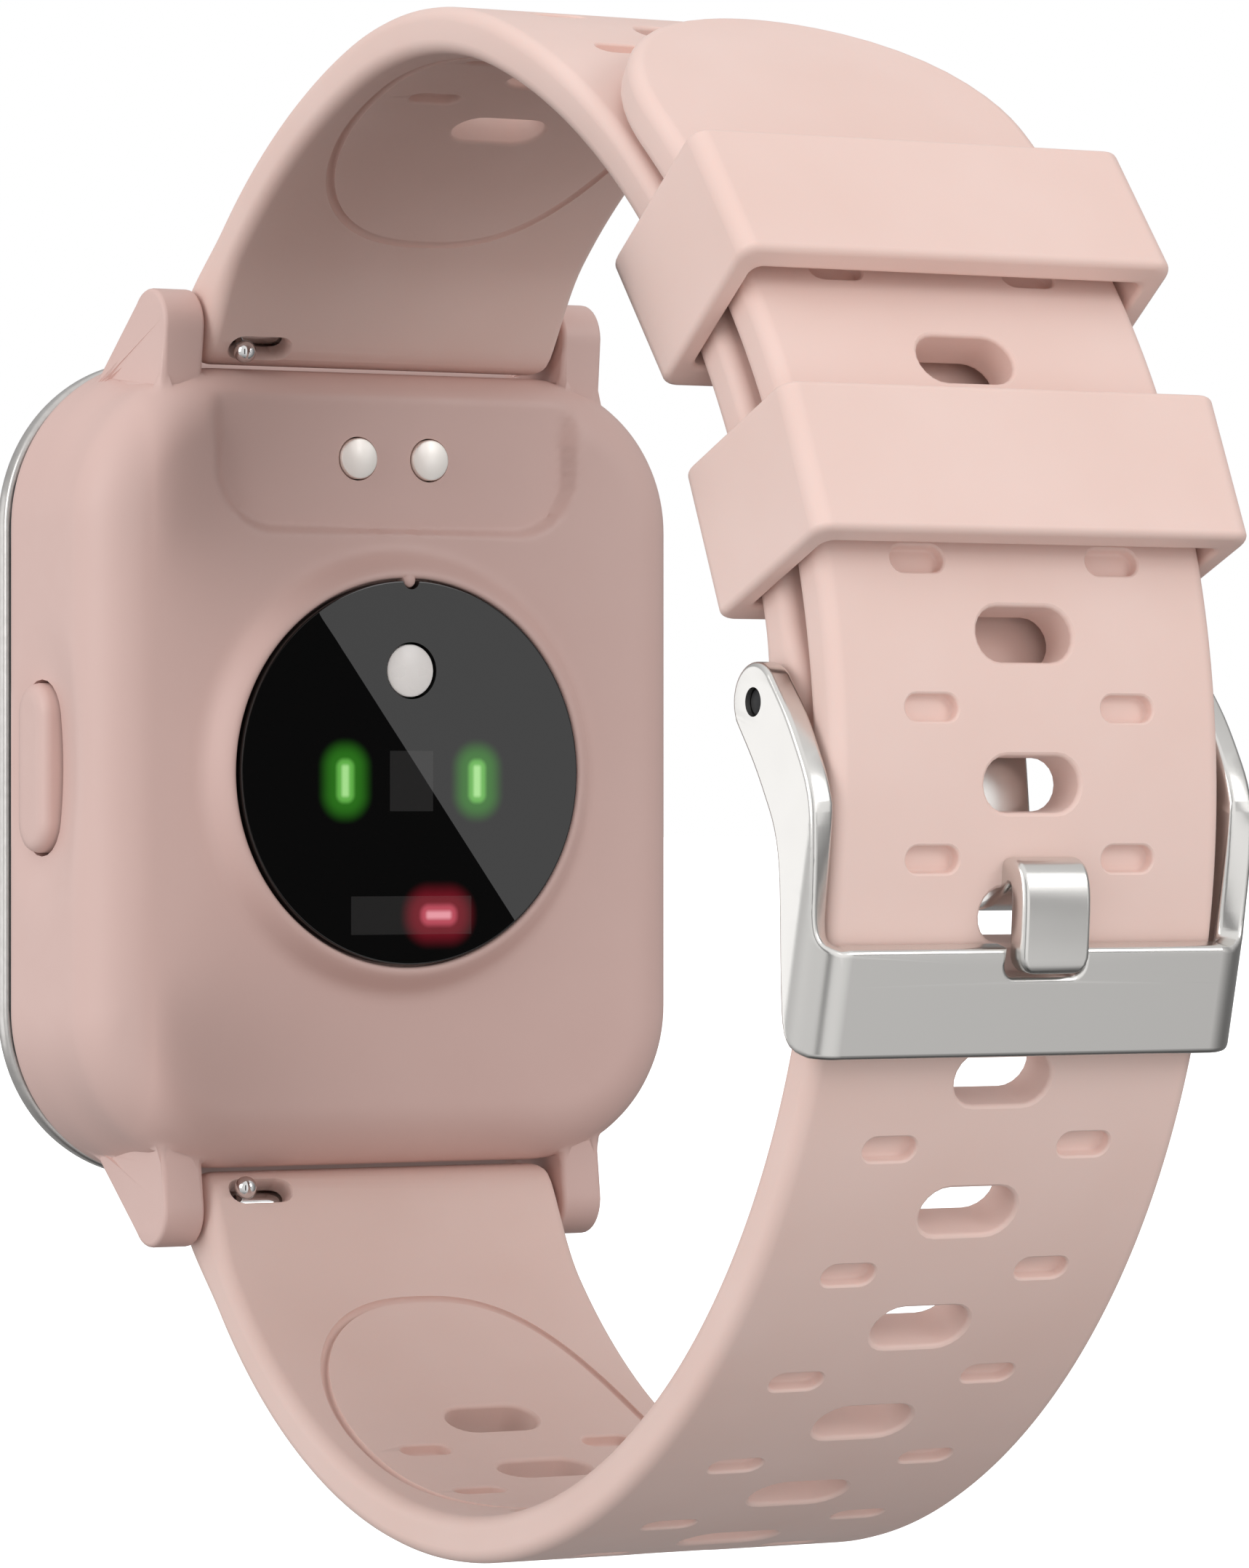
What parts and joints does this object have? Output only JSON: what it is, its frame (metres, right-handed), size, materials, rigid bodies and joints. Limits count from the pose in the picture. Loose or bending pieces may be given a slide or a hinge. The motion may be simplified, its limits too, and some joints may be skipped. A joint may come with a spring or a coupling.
{
  "type": "fitness tracker band",
  "caption": "Rounded-rectangle wrist tracker, seen from its sensor side, on a pink silicone band with quick-release bars, pin buckle and keepers.",
  "frame": {"origin": "middle of the wrist loop, on the case's centre lines", "axes": "+Z towards twelve o'clock on the display, +X towards the side with the button, +Y from the case through the wrist to the buckle, so the display faces -Y"},
  "size_m": [0.0371, 0.0762, 0.0793],
  "materials": {
    "cover_plastic": "satin moulded plastic",
    "button_plastic": "satin moulded plastic",
    "silicone": "soft matte silicone",
    "silver_rim": "fine silver",
    "satin_steel": "satin",
    "bright_steel": "polished",
    "black_glass": "gloss, treated as opaque black glass",
    "display_black": "gloss",
    "black_rubber": "matte",
    "grey_plastic": "matte",
    "board_green": "solder mask",
    "battery_foil": "foil",
    "nickel": "plated",
    "lamp_green": "lit lamp",
    "lamp_red": "dark red lamp window",
    "ceramic_white": "ceramic"
  },
  "bodies": {
    "case": {"rear_cover": "cover_plastic", "front_frame": "silver_rim", "case_seal": "black_rubber", "touch_glass": "black_glass", "display_panel": "display_black", "inner_frame": "grey_plastic", "main_board": "board_green", "battery": "battery_foil", "vibration_motor": "nickel", "button_switch": "grey_plastic", "charger_magnet_right": "nickel", "charger_magnet_left": "nickel", "case_screw_1": "bright_steel", "case_screw_2": "bright_steel", "case_screw_3": "bright_steel", "case_screw_4": "bright_steel", "sensor_window": "black_glass", "sensor_board": "board_green", "green_lamp_right": "lamp_green", "green_lamp_left": "lamp_green", "photodiode": "display_black", "red_lamp": "lamp_red", "temperature_sensor": "ceramic_white", "charging_contact_right": "bright_steel", "charging_contact_left": "bright_steel"},
    "upper_strap": {"short_band": "silicone", "upper_bar_tube": "bright_steel", "upper_fixed_tip": "bright_steel", "upper_bar_spring": "bright_steel", "buckle_pin": "bright_steel"},
    "lower_strap": {"long_band": "silicone", "lower_bar_tube": "bright_steel", "lower_fixed_tip": "bright_steel", "lower_bar_spring": "bright_steel"},
    "buckle": {"buckle_frame": "satin_steel"},
    "tongue": {"buckle_tongue": "satin_steel"},
    "upper_loop": {"upper_keeper": "silicone"},
    "lower_loop": {"lower_keeper": "silicone"},
    "button": {"side_button": "button_plastic"},
    "upper_release": {"upper_release_pin": "bright_steel"},
    "lower_release": {"lower_release_pin": "bright_steel"}
  },
  "joints": [
    {"name": "upper_band_swing", "type": "hinge", "parent": "case", "child": "upper_strap", "pos_m": [0, -0.026, 0.0239], "axis": [1, 0, 0], "range_deg": [0, 50], "deforming": ["long_band"]},
    {"name": "lower_band_swing", "type": "hinge", "parent": "case", "child": "lower_strap", "pos_m": [0, -0.026, -0.0239], "axis": [-1, 0, 0], "range_deg": [0, 50], "deforming": ["long_band"]},
    {"name": "buckle_swing", "type": "hinge", "parent": "upper_strap", "child": "buckle", "pos_m": [0, 0.0343, 0.00282], "axis": [1, 0, 0], "range_deg": [0, 40]},
    {"name": "tongue_lift", "type": "hinge", "parent": "buckle", "child": "tongue", "pos_m": [0, 0.0343, 0.00282], "axis": [1, 0, 0], "range_deg": [0, 60]},
    {"name": "upper_keeper_slide", "type": "hinge", "parent": "upper_strap", "child": "upper_loop", "pos_m": [0, -0.00743, -0.00349], "axis": [1, 0, 0], "range_deg": [-1.5, 10]},
    {"name": "lower_keeper_slide", "type": "hinge", "parent": "upper_strap", "child": "lower_loop", "pos_m": [0, -0.00743, -0.00349], "axis": [1, 0, 0], "range_deg": [-3, 1.5]},
    {"name": "button_press", "type": "slide", "parent": "case", "child": "button", "axis": [-1, 0, 0], "range_m": [0, 0.0004], "stiffness_N_per_m": 800, "springref_m": -0.0006},
    {"name": "upper_release_slide", "type": "slide", "parent": "upper_strap", "child": "upper_release", "axis": [-1, 0, 0], "range_m": [0, 0.0013], "stiffness_N_per_m": 500, "springref_m": -0.001, "deforming": ["upper_bar_spring"]},
    {"name": "lower_release_slide", "type": "slide", "parent": "lower_strap", "child": "lower_release", "axis": [-1, 0, 0], "range_m": [0, 0.0013], "stiffness_N_per_m": 500, "springref_m": -0.001, "deforming": ["lower_bar_spring"]}
  ]
}
